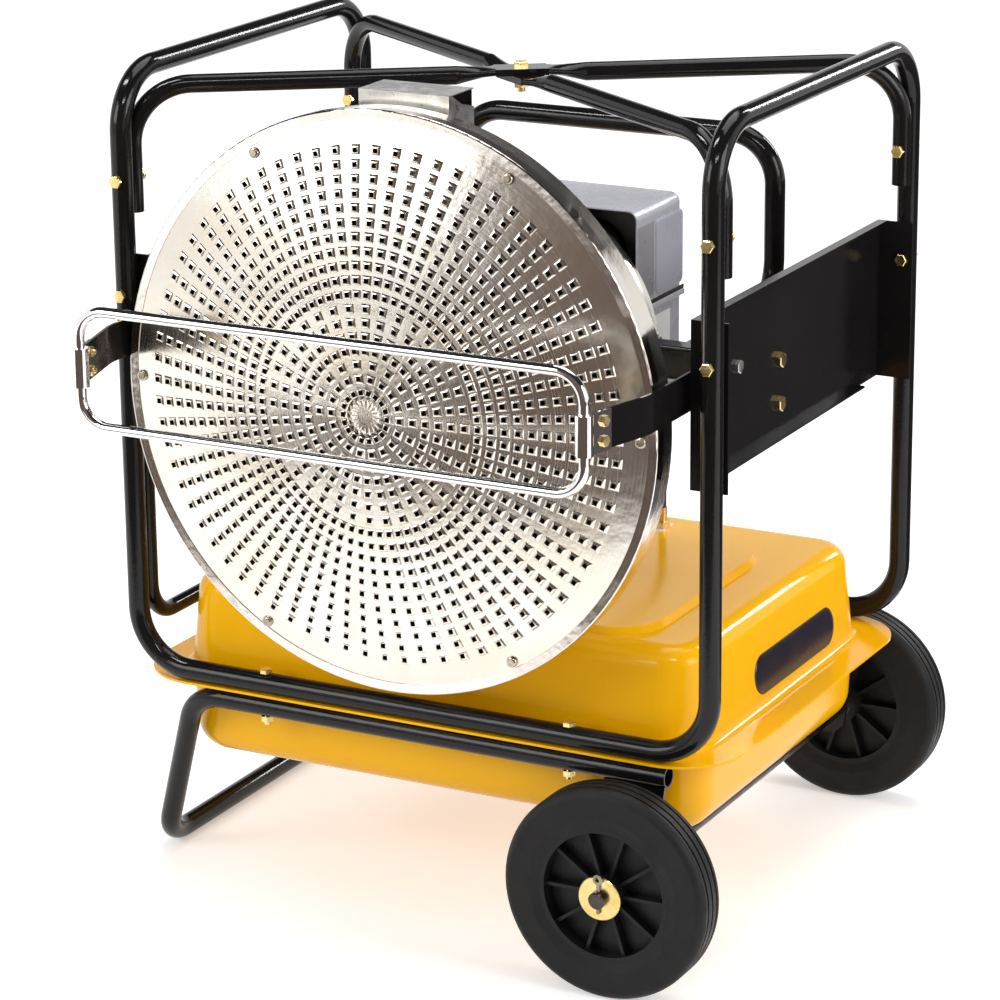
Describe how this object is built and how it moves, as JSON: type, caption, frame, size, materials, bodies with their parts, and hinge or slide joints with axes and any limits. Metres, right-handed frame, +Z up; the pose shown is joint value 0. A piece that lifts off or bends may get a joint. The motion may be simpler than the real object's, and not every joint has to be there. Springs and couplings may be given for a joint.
{
  "type": "infrared oil heater",
  "caption": "Wheeled infrared oil heater: round emitter head with an oil burner above a fuel tank, held in a tube roll frame with hand guard, foot bar and lift handle.",
  "frame": {"origin": "on the floor, in the middle of the whole object's footprint", "axes": "+Z up, +X to the heater's right-hand side, where the wheels are, as seen from the emitter, and +Y from the emitter disc to the burner at the back"},
  "size_m": [0.82, 0.865, 0.9987],
  "materials": {
    "frame_black": "gloss black enamel",
    "zinc_yellow": "yellow zinc plating",
    "steel_plain": "bright zinc plated or bare steel",
    "tyre_rubber": "solid black rubber",
    "wheel_plastic": "moulded black plastic",
    "tank_yellow": "gloss orange-yellow enamel",
    "cap_plastic": "moulded black plastic",
    "brass_fitting": "turned brass",
    "hose_rubber": "smooth black fuel hose",
    "stainless": "brushed stainless sheet",
    "rim_steel": "polished stainless, tinted by heat",
    "hood_grey": "plain grey sheet",
    "chrome_rod": "bright chrome plating",
    "case_grey": "light grey enamel",
    "case_black": "moulded black plastic",
    "cast_alloy": "cast, as it left the mould",
    "ceramic_white": "glazed ceramic sleeve",
    "button_red": "moulded red plastic"
  },
  "bodies": {
    "heater": {"roll_frame_right": "frame_black", "roll_frame_left": "frame_black", "base_tube": "frame_black", "base_clamp_bolts": "zinc_yellow", "axle_brackets": "frame_black", "axle": "zinc_yellow", "axle_washers": "zinc_yellow", "axle_cotter_pins": "steel_plain", "axle_spacers": "steel_plain", "brace_tube_upper": "frame_black", "brace_tube_lower": "frame_black", "side_plate_right": "frame_black", "side_plate_left": "frame_black", "frame_bolts": "zinc_yellow", "handle_pivot_pins": "steel_plain", "tank_pan": "tank_yellow", "tank_cover": "tank_yellow", "drain_plug": "steel_plain", "filler_neck": "tank_yellow", "tank_outlet": "brass_fitting", "fuel_hose": "hose_rubber", "emitter_disc": "stainless", "drum_shell": "stainless", "disc_screws": "steel_plain", "rim_ring": "rim_steel", "chamber_casing": "stainless", "flame_tube": "stainless", "flame_spreader": "stainless", "support_band": "steel_plain", "head_arms": "frame_black", "exhaust_hood": "hood_grey", "guard_loop": "chrome_rod", "guard_arm_right": "frame_black", "guard_arm_left": "frame_black", "guard_clamps": "chrome_rod", "guard_screws": "zinc_yellow", "rear_hoop": "frame_black", "burner_cover_lower": "case_grey", "equipment_tray": "steel_plain", "burner_cover_upper": "case_grey", "air_intake": "case_black", "burner_body": "cast_alloy", "photocell": "case_black", "burner_motor": "cast_alloy", "fuel_pump": "cast_alloy", "nozzle_line": "brass_fitting", "ignition_electrodes": "ceramic_white", "ignition_transformer": "case_black", "control_box": "case_black", "cord_gland": "case_black"},
    "front_wheel": {"front_tyre": "tyre_rubber", "front_rim": "wheel_plastic"},
    "rear_wheel": {"rear_tyre": "tyre_rubber", "rear_rim": "wheel_plastic"},
    "side_lift_handle": {"lift_handle": "frame_black"},
    "fuel_cap": {"filler_cap": "cap_plastic"},
    "fan_rotor": {"motor_shaft": "steel_plain", "fan_wheel": "steel_plain"},
    "reset_key": {"reset_button": "button_red"},
    "switch_rocker": {"power_switch": "case_black"}
  },
  "joints": [
    {"name": "front_wheel_turn", "type": "hinge", "parent": "heater", "child": "front_wheel", "pos_m": [0.285, -0.2975, 0.125], "axis": [0, 1, 0], "continuous": true},
    {"name": "rear_wheel_turn", "type": "hinge", "parent": "heater", "child": "rear_wheel", "pos_m": [0.285, 0.3925, 0.125], "axis": [0, 1, 0], "continuous": true},
    {"name": "lift_handle_swing", "type": "hinge", "parent": "heater", "child": "side_lift_handle", "pos_m": [-0.375, 0.0475, 0.602], "axis": [0, 1, 0], "range_deg": [0, 100]},
    {"name": "filler_cap_turn", "type": "hinge", "parent": "heater", "child": "fuel_cap", "pos_m": [-0.12, 0.2255, 0.4063], "axis": [0, 0, 1], "range_deg": [0, 90]},
    {"name": "fan_turn", "type": "hinge", "parent": "heater", "child": "fan_rotor", "pos_m": [0, 0.1135, 0.649], "axis": [1, 0, 0], "continuous": true},
    {"name": "reset_push", "type": "slide", "parent": "heater", "child": "reset_key", "axis": [0, -1, 0], "range_m": [0, 0.0025], "stiffness_N_per_m": 600, "springref_m": -0.002},
    {"name": "power_switch_rock", "type": "hinge", "parent": "heater", "child": "switch_rocker", "pos_m": [0.076, 0.1715, 0.764], "axis": [0, 0, -1], "range_deg": [0, 14]}
  ]
}
